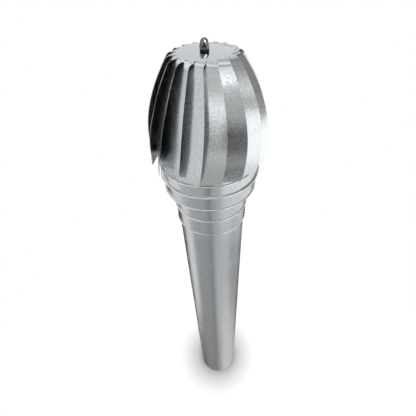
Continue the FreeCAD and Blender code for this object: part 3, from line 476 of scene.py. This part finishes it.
def brushed(name, colour, grain, stretch, roughness, spread, depth=0.1):
    """Worked metal. Its fine tool marks are stretched grains that vary its gloss and catch thin lines of
    light. Grain is a mark's width, and stretch its length along X, Y and Z in grains. The marks are drawn
    coarser than real ones, so that they show."""
    material, tree = blank_material(name)
    place = add_node(tree, "ShaderNodeTexCoord").outputs["Object"]
    drawn = add_node(tree, "ShaderNodeMapping", {
        "Vector": place, "Scale": [1.0 / grain / long for long in stretch]}).outputs[0]
    marks = add_node(tree, "ShaderNodeTexNoise", {
        "Vector": drawn, "Scale": 1.0, "Detail": 2.0}).outputs["Fac"]
    stain = add_node(tree, "ShaderNodeTexNoise", {
        "Vector": place, "Scale": 0.12 / grain, "Detail": 3.0}).outputs["Fac"]
    worn = add_node(tree, "ShaderNodeMath", {0: marks, 1: stain}, operation="ADD").outputs[0]
    rough = add_node(tree, "ShaderNodeMapRange", {
        "Value": worn, "From Min": 0.6, "From Max": 1.4,
        "To Min": roughness, "To Max": roughness + spread}).outputs[0]
    shade = add_node(tree, "ShaderNodeMapRange", {
        "Value": stain, "From Min": 0.3, "From Max": 0.7, "To Min": 0.88, "To Max": 1.05}).outputs[0]
    base = add_node(tree, "ShaderNodeMix", {
        0: 1.0, 6: srgb(colour), 7: shade}, data_type="RGBA", blend_type="MULTIPLY").outputs[2]
    bump = add_node(tree, "ShaderNodeBump", {
        "Height": marks, "Strength": depth, "Distance": grain * 0.3}).outputs[0]
    metal = add_node(tree, "ShaderNodeBsdfPrincipled", {
        "Base Color": base, "Metallic": 1.0, "Roughness": rough, "Normal": bump})
    add_node(tree, "ShaderNodeOutputMaterial", {"Surface": metal.outputs[0]})
    return material


def rivet_outline(width, low, high):
    """Half a rivet's section, from the closed end up to the domed head, with its shank between two levels."""
    head, rise = width * RIVET_HEAD, width * RIVET_RISE
    dome = (head ** 2 + rise ** 2) / (2 * rise)
    edge = degrees(acos(head / dome))
    points = [(0.0, low - width * RIVET_CLOSED), (width * RIVET_TAIL, low - width * RIVET_CLOSED),
              (width * RIVET_TAIL, low), (width / 2, low), (width / 2, high)]
    return points + arc(0.0, high + rise - dome, dome, edge, 90.0, RIVET_DOME_STEPS)


def repeated(shape, places):
    """One finished shape set down at each place."""
    one = bpy.data.meshes.new("one")
    shape.to_mesh(one)
    shape.free()
    whole = bmesh.new()
    for place in places:
        first = len(whole.verts)
        whole.from_mesh(one)
        whole.verts.ensure_lookup_table()
        bmesh.ops.transform(whole, matrix=place, verts=whole.verts[first:])
    bpy.data.meshes.remove(one)
    return whole


def round_the_axis(count, start, out, across=0.0):
    """Places spaced evenly about the rotor's axis, the first at an azimuth from the camera's side."""
    spot = Matrix.Translation((across, -out, 0.0))
    return [Matrix.Rotation(radians(start + 360.0 * k / count), 4, "Z") @ spot for k in range(count)]


spider_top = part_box("bearing_spider")[1].z
neck_underside = neck_top - SHEET
cup_floor = cup_low + SHEET
foot_circle = (neck_radius + neck_flange) / 2

aluminium = brushed("plain_aluminium_rivet", "#CFD0D2", grain=0.5 * MM, stretch=(1.0, 1.0, 1.0),
                    roughness=0.28, spread=0.16)
shape = bmesh.new()
spin_outline(shape, rivet_outline(RIVET_WIDTH, neck_underside, cup_floor), RIVET_STEPS)
whole = repeated(shape, round_the_axis(SPIDER_ARMS, 180.0, foot_circle))
cup_rivets = piece_from(whole, "cup_rivet_heads", aluminium)
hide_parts("cup_rivets")
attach(cup_rivets, "stack")
shape = bmesh.new()
spin_outline(shape, rivet_outline(RIVET_WIDTH, neck_underside, spider_top), RIVET_STEPS)
feet = [place for across in (-FOOT_HALF_PITCH, FOOT_HALF_PITCH)
        for place in round_the_axis(SPIDER_ARMS, 0.0, foot_circle, across)]
spider_rivets = piece_from(repeated(shape, feet), "spider_rivet_heads", aluminium)
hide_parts("spider_rivets")
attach(spider_rivets, "stack")

# The spider is cut and folded from thick zinc-plated strip. Its three arms cross the duct edge on and carry
# the bearing tube in the middle. The plate is bright, with faint draw marks and a soft stain.
BROKEN_EDGE = 0.25 * MM
SHARP_ANGLE = 50.0
FLAT_ANGLE = 0.5


def dressed(node, name, material, body, edge=BROKEN_EDGE, smooth=35.0):
    """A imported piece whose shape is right, as a merged copy with its sharp edges broken to catch light."""
    shape = bmesh.new()
    shape.from_mesh(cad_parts[node].data)
    bmesh.ops.remove_doubles(shape, verts=shape.verts, dist=MERGE)
    bmesh.ops.dissolve_limit(shape, angle_limit=radians(FLAT_ANGLE), verts=shape.verts, edges=shape.edges)
    if edge:
        sharp = [side for side in shape.edges
                 if side.is_manifold and side.calc_face_angle() > radians(SHARP_ANGLE)]
        bmesh.ops.bevel(shape, geom=sharp, offset=edge, affect="EDGES", segments=2, profile=0.5, material=-1,
                        clamp_overlap=True)
    piece = piece_from(shape, name, material, smooth)
    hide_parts(node)
    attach(piece, body)
    return piece


zinc_plate = brushed("bright_zinc_plate", "#C4C6CA", grain=0.6 * MM, stretch=(1.0, 6.0, 1.0),
                     roughness=0.20, spread=0.14)
dressed("bearing_spider", "spider", zinc_plate, "stack")

# The bearing tube is turned from bar, with a flange that three pan-head screws and nuts clamp to the
# spider. Turning leaves fine rings round it, which spread each light into a line along it.
SCREW_EDGE = 0.15 * MM
SCREW_CIRCLE = 20 * MM
SMALL_NUT_FLATS = 7 * MM
SMALL_NUT_BORE = 2 * MM
SMALL_NUT_STEPS = 48
NUT_CHAMFER = 0.6
CUT_SNAP = 0.0001 * MM

turned = brushed("turned_steel", "#B4B5B8", grain=0.3 * MM, stretch=(40.0, 40.0, 1.0),
                 roughness=0.22, spread=0.12)
dressed("bearing_tube", "bearing_housing", turned, "stack")
dressed("tube_screws", "flange_screws", zinc_plate, "stack", edge=SCREW_EDGE)


def cut_flats(shape, flats):
    """Six flats cut on a turned blank, which leaves the round chamfer's curves on the corners."""
    for k in range(6):
        away = Vector((cos(radians(30.0 + 60.0 * k)), sin(radians(30.0 + 60.0 * k)), 0.0))
        whole = shape.verts[:] + shape.edges[:] + shape.faces[:]
        cut = bmesh.ops.bisect_plane(shape, geom=whole, dist=CUT_SNAP, plane_co=away * flats / 2,
                                     plane_no=away, clear_outer=True)
        rim = [part for part in cut["geom_cut"] if isinstance(part, bmesh.types.BMEdge)]
        bmesh.ops.edgeloop_fill(shape, edges=[side for side in rim if side.is_boundary])


def nut_blank(flats, bore, low, high):
    """The turned outline of a nut, with its corners chamfered at both ends."""
    corner = flats / sqrt(3.0)
    inset = corner - flats / 2
    return [(bore, low), (flats / 2, low), (corner, low + inset * NUT_CHAMFER),
            (corner, high - inset * NUT_CHAMFER), (flats / 2, high), (bore, high)]


_, small_low, small_high = size_of("tube_nuts")
shape = bmesh.new()
spin_outline(shape, nut_blank(SMALL_NUT_FLATS, SMALL_NUT_BORE, small_low, small_high), SMALL_NUT_STEPS)
cut_flats(shape, SMALL_NUT_FLATS)
whole = repeated(shape, round_the_axis(SPIDER_ARMS, 180.0, SCREW_CIRCLE))
nuts = piece_from(whole, "flange_nuts", zinc_plate)
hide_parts("tube_nuts")
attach(nuts, "stack")

# A ball bearing sits in each end of the tube, held by a black spring ring. Its rings and balls are ground
# steel, which shines like a mirror, between two pressed shields, and a band of pressed brass, warm and
# softly bright, spaces the balls. The spring rings and the collar's screw are oiled, nearly black steel.
GROUND_EDGE = 0.1 * MM

ground = brushed("ground_bearing_steel", "#C9C9CC", grain=0.25 * MM, stretch=(30.0, 30.0, 1.0),
                 roughness=0.08, spread=0.06, depth=0.03)
pressed_brass = brushed("pressed_brass", "#D9B766", grain=0.4 * MM, stretch=(3.0, 3.0, 1.0),
                        roughness=0.22, spread=0.14)
for end in ("lower", "upper"):
    for part, body in (("outer_ring", "stack"), ("shields", "stack"), ("inner_ring", "rotor")):
        dressed("%s_bearing_%s" % (end, part), "%s_%s" % (end, part), ground, body,
                edge=GROUND_EDGE)
    dressed(end + "_bearing_balls", end + "_balls", ground, end + "_ball_set", edge=0.0,
            smooth=180.0)
    dressed(end + "_bearing_ball_cage", end + "_ball_cage", pressed_brass, end + "_ball_set",
            edge=0.0)
spring = brushed("oiled_black_spring_steel", "#2C2C2E", grain=0.4 * MM, stretch=(1.0, 1.0, 1.0),
                 roughness=0.30, spread=0.15)
for node, name, body in (("lower_bearing_clip", "lower_spring_ring", "stack"),
                         ("upper_bearing_clip", "upper_spring_ring", "stack"),
                         ("shaft_clip", "shaft_spring_ring", "rotor"),
                         ("grub_screw", "collar_screw", "rotor")):
    dressed(node, name, spring, body, edge=GROUND_EDGE)

# The rotor's shaft is a plain turned rod. A collar with a grub screw rests on the upper bearing and carries
# the rotor's weight.
dressed("rotor_shaft", "shaft", turned, "rotor", edge=0.0)
dressed("shaft_collar", "collar", turned, "rotor")

# The skirt ring is a rolled band that turns with the vanes. Its lower edge is rolled round a wire, the
# thick bright line in the photograph, and a bead runs just under the vanes' feet. The head's sheet has
# finer crystals than the stack's and a brighter shine.
SKIRT_STEP = 2.7 * MM
SKIRT_ROLL = 2.5 * MM
SKIRT_ROLL_GAP = 1.2 * MM
SKIRT_BEAD_DROP = 9.5 * MM
SKIRT_WAVE = 0.25 * MM
SKIRT_WAVE_LENGTH = 80 * MM
VANE_LAP = 14 * MM

_, skirt_low, skirt_top = size_of("skirt_ring")
skirt_radius = cup_radius + SKIRT_STEP
skirt_inside = skirt_radius - SHEET
vane_foot = skirt_top - VANE_LAP

head_zinc = galvanised("galvanised_head_sheet", "#E1E4E6", crystal=1.8 * MM, roughness=0.16, spread=0.08,
                       tilt=0.034)
shape = bmesh.new()
roll_centre = cup_radius + SKIRT_ROLL_GAP + SKIRT_ROLL
outline = rolled_edge(skirt_radius, skirt_inside, roll_centre, SKIRT_ROLL, skirt_low + SKIRT_ROLL)
outline += bead(skirt_radius, vane_foot - SKIRT_BEAD_DROP)
outline += [(skirt_radius, skirt_top), (skirt_inside, skirt_top)]
outline += bead(skirt_inside, vane_foot - SKIRT_BEAD_DROP, inside=True)
spin_outline(shape, outline, SPIN_STEPS)
wobble(shape, SKIRT_WAVE, SKIRT_WAVE_LENGTH, seed=23.0)
# The skirt's rolled edge and bead take the same smoother zinc with its painted highlight.
paint_bead_highlight(shape, skirt_radius, skirt_low, skirt_top)
skirt = piece_from(shape, "skirt", head_zinc)
skirt.data.materials.append(smooth_painted_highlight_zinc)
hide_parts("skirt_ring")
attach(skirt, "rotor")

# The vanes are strips of bright galvanised sheet, bent to a long belly and a tight shoulder, with a tab
# under the cap and a foot riveted to the ring. Each stands askew, like a louvre, so its outer edge hides
# the next one's inner edge. They are bent by hand, so no two mirror the room alike.
VANES = 18
VANE_AZIMUTH = 2.0
VANE_COLUMNS = 14
BELLY_RADIUS = 356 * MM
BELLY_STEPS = 22
SHOULDER_RADIUS = 12 * MM
SHOULDER_STEPS = 8
INNER_FOOT = -8 * MM
INNER_EDGE = 8 * MM
LUG_HEIGHT = 15 * MM
LUG_SLOPE = 20 * MM
EDGE_REACH = 56.8 * MM
EDGE_RISE = 68.5 * MM
EDGE_RADIUS = 271 * MM
FOOT_CORNER = 4 * MM
FOOT_CORNER_STEPS = 6
RELIEF_DROP = 6 * MM
RELIEF_CUT = 0.01 * MM
TAB_DEPTH = 12 * MM
TAB_STEPS = 2
TAB_OUTER_GAP = 0.5 * MM
TAB_INNER_GAP = 2 * MM
RIPPLE = 0.9 * MM
RIPPLE_ACROSS = 45 * MM
RIPPLE_ALONG = 60 * MM
RIPPLE_SHIFT = 7.3

# Two vanes' outer edges were bent outwards by hand: by how many millimetres, at which height above the foot.
FLARES = {14: ((9.0, 0.0), (6.5, 30.0), (2.7, 70.0), (0.0, 120.0)),
          13: ((6.0, 0.0), (2.5, 25.0), (2.5, 60.0), (0.0, 110.0))}

vane_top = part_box("cap_plate")[0].z
vane_reach = skirt_radius + SEAT_GAP + SHEET / 2
belly_centre = vane_reach - BELLY_RADIUS
shoulder_level = vane_top - SHEET / 2 - SHOULDER_RADIUS
shoulder_sine = (shoulder_level - vane_foot) / (BELLY_RADIUS - SHOULDER_RADIUS)
bend_line = belly_centre + (BELLY_RADIUS - SHOULDER_RADIUS) * cos(asin(shoulder_sine))
edge_centre = EDGE_REACH - EDGE_RADIUS


def outer_edge(level):
    """How far the vane's outer edge reaches at a level."""
    return edge_centre + sqrt(EDGE_RADIUS ** 2 - (level - vane_foot - EDGE_RISE) ** 2)


edge_top = outer_edge(vane_top)
tooth_start = bend_line * tan(atan(edge_top / bend_line) - radians(360.0 / VANES))


def vane_stations():
    """Sections of the vane from its foot to the tab's end: depth, level, inner end and outer end."""
    belly_face = BELLY_RADIUS + SHEET / 2
    shoulder_face = SHOULDER_RADIUS + SHEET / 2
    belly_rise = vane_top - vane_foot - RELIEF_DROP
    lug_top = LUG_HEIGHT + LUG_SLOPE
    rises = [FOOT_CORNER * (1 - cos(radians(90.0 * k / FOOT_CORNER_STEPS)))
             for k in range(FOOT_CORNER_STEPS + 1)]
    rises += [LUG_HEIGHT, LUG_HEIGHT + LUG_SLOPE / 2, lug_top]
    rises += [lug_top + (belly_rise - lug_top) * k / BELLY_STEPS for k in range(1, BELLY_STEPS + 1)]
    stations = []
    for rise in rises:
        if rise > belly_face * shoulder_sine:
            lean = asin((vane_foot + rise - shoulder_level) / shoulder_face)
            depth = bend_line + shoulder_face * cos(lean)
        else:
            depth = belly_centre + sqrt(belly_face ** 2 - rise ** 2)
        inner = INNER_FOOT + (INNER_EDGE - INNER_FOOT) * min(max((rise - LUG_HEIGHT) / LUG_SLOPE, 0.0), 1.0)
        outer = outer_edge(vane_foot + rise)
        if rise < FOOT_CORNER:
            outer = outer_edge(vane_foot + FOOT_CORNER) - FOOT_CORNER
            outer += sqrt(FOOT_CORNER ** 2 - (FOOT_CORNER - rise) ** 2)
        stations.append((depth, vane_foot + rise, inner, outer))
    first_lean = asin((vane_foot + belly_rise - shoulder_level) / shoulder_face)
    inner = tooth_start + TAB_INNER_GAP
    for k in range(SHOULDER_STEPS + 1):
        lean = first_lean + (pi / 2 - first_lean) * k / SHOULDER_STEPS
        level = shoulder_level + shoulder_face * sin(lean)
        cut = RELIEF_CUT if k == 0 else 0.0
        stations.append((bend_line + shoulder_face * cos(lean), level - cut, inner, outer_edge(level)))
    for k in range(1, TAB_STEPS + 1):
        depth = bend_line - TAB_DEPTH * k / TAB_STEPS
        stations.append((depth, vane_top, inner, depth * edge_top / bend_line - TAB_OUTER_GAP))
    return stations


def flare(number, rise):
    """How far a vane's outer edge was bent outwards by hand, at a height above its foot."""
    steps = FLARES.get(number, ())
    for (near, low), (far, high) in zip(steps, steps[1:]):
        if rise <= high * MM:
            return (near + (far - near) * max(rise / MM - low, 0.0) / (high - low)) * MM
    return 0.0


stations = vane_stations()
for number in range(VANES):
    shape = bmesh.new()
    bmesh.ops.create_grid(shape, x_segments=VANE_COLUMNS, y_segments=len(stations) - 1, size=0.5)
    for corner in shape.verts:
        row = round((corner.co.y + 0.5) * (len(stations) - 1))
        depth, level, inner, outer = stations[row]
        across = inner + (outer - inner) * (corner.co.x + 0.5)
        free = sin(pi * min(max((level - vane_foot) / (vane_top - vane_foot), 0.0), 1.0))
        ripple = noise.noise(Vector((across / RIPPLE_ACROSS, level / RIPPLE_ALONG, number * RIPPLE_SHIFT)))
        bent = flare(number, level - vane_foot) * max(across - INNER_FOOT, 0.0) / (EDGE_REACH - INNER_FOOT)
        corner.co = Vector((across, -depth - bent - RIPPLE * free * ripple, level))
    bmesh.ops.recalc_face_normals(shape, faces=shape.faces)
    if sum(face.normal.y for face in shape.faces) > 0:
        bmesh.ops.reverse_faces(shape, faces=shape.faces)
    bmesh.ops.solidify(shape, geom=shape.faces[:], thickness=SHEET)
    bmesh.ops.rotate(shape, verts=shape.verts, cent=(0, 0, 0),
                     matrix=Matrix.Rotation(radians(VANE_AZIMUTH + number * 360.0 / VANES), 3, "Z"))
    vane = piece_from(shape, "blade_%02d" % (number + 1), head_zinc)
    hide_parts("vane_%02d" % (number + 1))
    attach(vane, "rotor")

# One aluminium rivet through each vane's foot holds it on the skirt. Its domed head is outside, and its
# closed end lies on the skirt's inner wall.
VANE_RIVET = 3.2 * MM
VANE_RIVET_ACROSS = -3.5 * MM
VANE_RIVET_SLACK = 0.1 * MM

rivet_level = vane_foot + VANE_LAP / 2
shape = bmesh.new()
outline = rivet_outline(VANE_RIVET, skirt_inside - VANE_RIVET_SLACK, vane_reach + SHEET / 2)
spin_outline(shape, outline, RIVET_STEPS)
lay = Matrix.Translation((VANE_RIVET_ACROSS, 0.0, rivet_level)) @ Matrix.Rotation(radians(90.0), 4, "X")
places = [place @ lay for place in round_the_axis(VANES, VANE_AZIMUTH, 0.0)]
vane_rivets = piece_from(repeated(shape, places), "vane_rivet_heads", aluminium)
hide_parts("vane_rivets")
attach(vane_rivets, "rotor")

# The cap is a disc of the vanes' sheet. Its rim is cut to a tooth over each vane's tab, straight along the
# bend and stepped down to the next, and the cut edge is slightly broken. Its flat top is the smoothest
# sheet of all, and mirrors the nut.
CAP_EDGE = 0.15 * MM

_, cap_low, cap_high = size_of("cap_plate")
cap_zinc = galvanised("galvanised_cap_sheet", "#E0E4E7", crystal=1.6 * MM, roughness=0.07, spread=0.04,
                      tilt=0.010, smudge=0.03)
shape = bmesh.new()
rim = []
for step in range(VANES):
    tooth = Matrix.Rotation(radians(VANE_AZIMUTH + 360.0 / VANES * step), 3, "Z")
    for across in (tooth_start, edge_top):
        rim.append(shape.verts.new(tooth @ Vector((across, -bend_line, cap_low))))
plate = shape.faces.new(rim)
raised = bmesh.ops.extrude_face_region(shape, geom=[plate])["geom"]
upper = [part for part in raised if isinstance(part, bmesh.types.BMVert)]
bmesh.ops.translate(shape, verts=upper, vec=(0.0, 0.0, cap_high - cap_low))
bmesh.ops.recalc_face_normals(shape, faces=shape.faces)
top_edges = [side for side in shape.edges if min(corner.co.z for corner in side.verts) > cap_high - CAP_EDGE]
bmesh.ops.bevel(shape, geom=top_edges, offset=CAP_EDGE, affect="EDGES", segments=2, profile=0.5, material=-1,
                clamp_overlap=True)
cap = piece_from(shape, "cap", cap_zinc)
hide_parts("cap_plate")
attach(cap, "rotor")

# Under the cap a penny washer and a plain nut, both zinc plated, clamp it to the shaft's thread. The nut's
# six flats are cut on a turned blank.
NUT_FLATS = 13 * MM
NUT_STEPS = 72
STUD_RADIUS = 4 * MM
WASHER_EDGE = 0.15 * MM

dressed("penny_washer", "large_washer", zinc_plate, "rotor", edge=WASHER_EDGE)
_, lock_low, lock_high = size_of("lock_nut")
shape = bmesh.new()
spin_outline(shape, nut_blank(NUT_FLATS, STUD_RADIUS, lock_low, lock_high), NUT_STEPS)
cut_flats(shape, NUT_FLATS)
under_nut = piece_from(shape, "clamp_nut", zinc_plate)
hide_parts("lock_nut")
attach(under_nut, "rotor")

# On top, a black rubber washer seals the hole. It is moulded, dull, and dusty in its pores, and the nut
# squeezes it, so its rim bulges.
RUBBER_PORE = 0.4 * MM
WASHER_BULGE = 1.2 * MM
WASHER_BULGE_STEPS = 12

rubber, tree = blank_material("moulded_black_rubber")
spot = add_node(tree, "ShaderNodeTexCoord").outputs["Object"]
pores = add_node(tree, "ShaderNodeTexNoise", {
    "Vector": spot, "Scale": 1.0 / RUBBER_PORE, "Detail": 3.0}).outputs["Fac"]
dust = add_node(tree, "ShaderNodeMix", {
    0: pores, 6: srgb("#040404"), 7: srgb("#0E0E0E")}, data_type="RGBA").outputs[2]
dull = add_node(tree, "ShaderNodeMapRange", {"Value": pores, "To Min": 0.5, "To Max": 0.75}).outputs[0]
bump = add_node(tree, "ShaderNodeBump", {
    "Height": pores, "Strength": 0.3, "Distance": RUBBER_PORE * 0.3}).outputs[0]
skin = add_node(tree, "ShaderNodeBsdfPrincipled", {
    "Base Color": dust, "Roughness": dull, "Normal": bump, "Specular IOR Level": 0.2})
add_node(tree, "ShaderNodeOutputMaterial", {"Surface": skin.outputs[0]})

washer_radius, washer_low, washer_high = size_of("seal_washer")
washer_half = (washer_high - washer_low) / 2
washer_round = (washer_half ** 2 + WASHER_BULGE ** 2) / (2 * WASHER_BULGE)
washer_turn = degrees(asin(washer_half / washer_round))
shape = bmesh.new()
outline = arc(washer_radius - washer_round, washer_low + washer_half, washer_round, -washer_turn,
              washer_turn, WASHER_BULGE_STEPS)
outline += [(STUD_RADIUS, washer_high), (STUD_RADIUS, washer_low)]
spin_outline(shape, outline, NUT_STEPS)
washer = piece_from(shape, "rubber_washer", rubber, smooth=60.0)
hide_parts("seal_washer")
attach(washer, "rotor")

# The domed nut is drawn over the shaft's end and plated dark nickel, so it mirrors the room in strong light
# and shade: a bright window on its dome, and dark sides.
DOME_RADIUS = 6.25 * MM
DOME_HEX = 6.5 * MM
DOME_STEPS = 16
BORE_TOP = 4.2 * MM

_, dome_low, dome_high = size_of("domed_nut")
nickel = brushed("dark_nickel_plate", "#8B8A89", grain=0.5 * MM, stretch=(1.0, 1.0, 4.0),
                 roughness=0.04, spread=0.05, depth=0.04)
shape = bmesh.new()
outline = nut_blank(NUT_FLATS, STUD_RADIUS, dome_low, dome_low + DOME_HEX)[:-1]
outline += arc(0.0, dome_high - DOME_RADIUS, DOME_RADIUS, 0.0, 90.0, DOME_STEPS)
outline += [(0.0, dome_high - BORE_TOP), (STUD_RADIUS, dome_high - BORE_TOP)]
spin_outline(shape, outline, NUT_STEPS)
cut_flats(shape, NUT_FLATS)
dome = piece_from(shape, "acorn_nut", nickel)
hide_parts("domed_nut")
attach(dome, "rotor")
